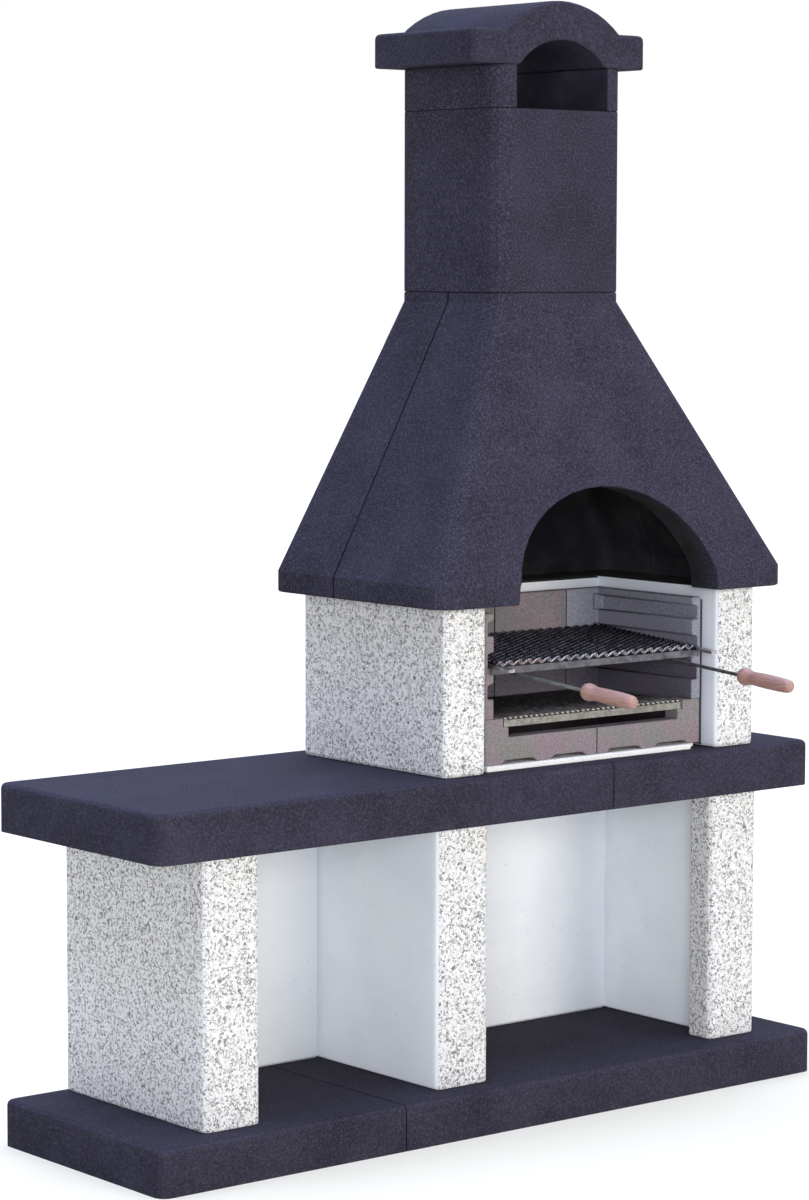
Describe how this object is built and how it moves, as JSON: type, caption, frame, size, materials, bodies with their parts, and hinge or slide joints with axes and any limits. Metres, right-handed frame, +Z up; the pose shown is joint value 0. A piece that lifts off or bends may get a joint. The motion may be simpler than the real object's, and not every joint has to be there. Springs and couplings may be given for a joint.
{
  "type": "masonry garden barbecue",
  "caption": "Free-standing concrete garden barbecue with chimney hood, firebrick firebox, side table, sliding grill with handles and charcoal grate.",
  "frame": {"origin": "on the ground, under the middle of the base: half its length and half its depth", "axes": "+Z up, +X to the right along the front, +Y from the front to the back"},
  "size_m": [1.843, 0.9053, 2.421],
  "materials": {
    "anthracite_concrete": "matte",
    "washed_aggregate": "matte",
    "white_masonry_paint": "matte",
    "firebrick": "matte",
    "cream_refractory": "matte",
    "zinc_plated_wire": "satin",
    "sooted_steel": "matte",
    "galvanised_strip": "satin",
    "beech": "satin"
  },
  "bodies": {
    "masonry": {"base_slab_left": "anthracite_concrete", "base_slab_right": "anthracite_concrete", "support_left": "washed_aggregate", "support_middle": "washed_aggregate", "support_right": "washed_aggregate", "back_panel_left": "white_masonry_paint", "back_panel_right": "white_masonry_paint", "worktop_left": "anthracite_concrete", "worktop_right": "anthracite_concrete", "firebox_wall_left": "washed_aggregate", "firebox_wall_right": "washed_aggregate", "firebox_wall_back": "white_masonry_paint", "hearth_plate": "cream_refractory", "lining_corner_left": "firebrick", "lining_corner_right": "firebrick", "lining_back_left": "firebrick", "lining_back_right": "firebrick", "front_brick_left": "firebrick", "front_brick_right": "firebrick", "hood_front": "anthracite_concrete", "hood_back": "anthracite_concrete", "flue_block": "anthracite_concrete", "outlet_cheek_left": "anthracite_concrete", "outlet_cheek_right": "anthracite_concrete", "chimney_cap": "anthracite_concrete"},
    "cooking_grill": {"grill_mesh": "zinc_plated_wire", "grill_frame": "sooted_steel", "handle_rod_left": "sooted_steel", "handle_rod_right": "sooted_steel", "grip_left": "beech", "grip_right": "beech"},
    "charcoal_grate": {"charcoal_grate": "sooted_steel", "grate_front_strip": "galvanised_strip"}
  },
  "joints": [
    {"name": "cooking_grill_slide", "type": "slide", "parent": "masonry", "child": "cooking_grill", "axis": [0, -1, 0], "range_m": [0, 0.25]},
    {"name": "charcoal_grate_slide", "type": "slide", "parent": "masonry", "child": "charcoal_grate", "axis": [0, -1, 0], "range_m": [0, 0.25]}
  ]
}
